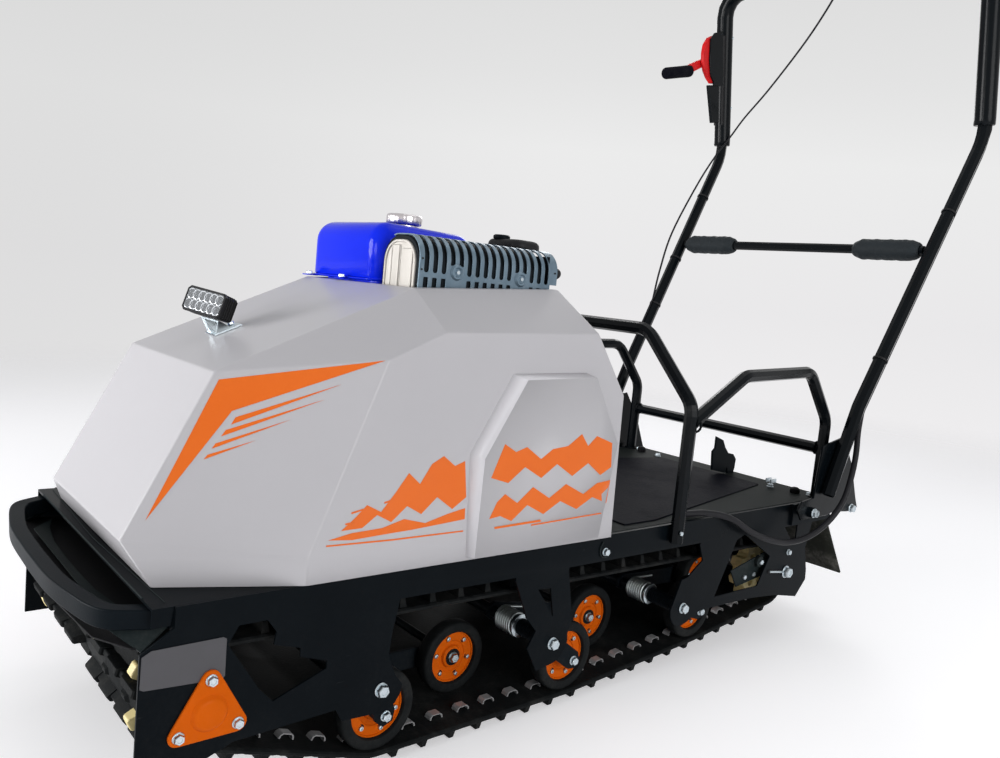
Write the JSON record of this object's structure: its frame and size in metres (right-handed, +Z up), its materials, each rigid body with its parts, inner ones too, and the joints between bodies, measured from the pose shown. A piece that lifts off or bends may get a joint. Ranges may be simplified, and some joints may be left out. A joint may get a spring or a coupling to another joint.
{
  "type": "tracked snow tug",
  "caption": "Walk-behind tracked snow tug: faceted hood over an engine, side plates round one wide rubber track on rollers, cargo deck with hoops, folding handlebar.",
  "frame": {"origin": "middle of the bounding box's bottom, on the ground under the track", "axes": "+X to the tug's left, +Y to its rear where the handlebar is, +Z up"},
  "size_m": [0.7272, 1.8324, 1.55],
  "materials": {
    "frame_paint": "satin black powder coat",
    "mat_rubber": "matt black rubber",
    "track_rubber": "matt black moulded rubber",
    "roller_orange": "satin orange with black tyres",
    "sprocket_cream": "cream cast plastic",
    "spring_zinc": "bright zinc",
    "hood_plastic": "light grey moulding",
    "engine_metal": "dark cast metal",
    "tank_blue": "glossy blue",
    "guard_paint": "blue-grey heatproof paint",
    "muffler_steel": "dull plated steel",
    "black_plastic": "matt black",
    "foam": "matt black foam",
    "red_plastic": "glossy red"
  },
  "bodies": {
    "tug": {"side_plate_left": "frame_paint", "side_plate_right": "frame_paint", "deck": "frame_paint", "front_bumper": "frame_paint", "suspension_front": "frame_paint", "suspension_middle": "frame_paint", "suspension_rear": "frame_paint", "hoop_front": "frame_paint", "side_hoop_left": "frame_paint", "side_hoop_right": "frame_paint", "rear_bar": "frame_paint", "handle_bracket_left": "frame_paint", "handle_bracket_right": "frame_paint", "tow_hitch": "frame_paint", "deck_mat": "mat_rubber", "mud_flap": "mat_rubber", "track": "track_rubber", "outer_roller_front_left": "roller_orange", "outer_roller_front_right": "roller_orange", "outer_roller_middle_left": "roller_orange", "outer_roller_middle_right": "roller_orange", "outer_roller_rear_left": "roller_orange", "outer_roller_rear_right": "roller_orange", "inner_rollers_front": "roller_orange", "inner_rollers_middle": "roller_orange", "inner_rollers_rear": "roller_orange", "bearing_flange_left": "roller_orange", "bearing_flange_right": "roller_orange", "drive_shaft": "sprocket_cream", "idler_shaft": "sprocket_cream", "torsion_spring_middle_left": "spring_zinc", "torsion_spring_middle_right": "spring_zinc", "torsion_spring_rear_left": "spring_zinc", "torsion_spring_rear_right": "spring_zinc", "lamp_bracket": "spring_zinc", "tank_cap": "spring_zinc", "hood": "hood_plastic", "scoop_left": "hood_plastic", "scoop_right": "hood_plastic", "engine_block": "engine_metal", "fuel_tank": "tank_blue", "muffler_guard": "guard_paint", "muffler": "muffler_steel", "air_cleaner": "black_plastic", "lamp": "black_plastic"},
    "handlebar": {"handle_tube": "frame_paint", "handle_gusset_left": "frame_paint", "handle_gusset_right": "frame_paint", "crossbar": "frame_paint", "foam_grip_left": "foam", "foam_grip_right": "foam", "control_plate": "black_plastic", "throttle_housing": "red_plastic", "throttle_grip": "foam", "cable_clamp": "black_plastic", "cable_bundle": "black_plastic", "throttle_cable": "black_plastic"}
  },
  "joints": [
    {"name": "handlebar_fold", "type": "hinge", "parent": "tug", "child": "handlebar", "pos_m": [0, 0.4488, 0.282], "axis": [1, 0, 0], "range_deg": [0, 80], "deforming": ["cable_bundle"]}
  ]
}
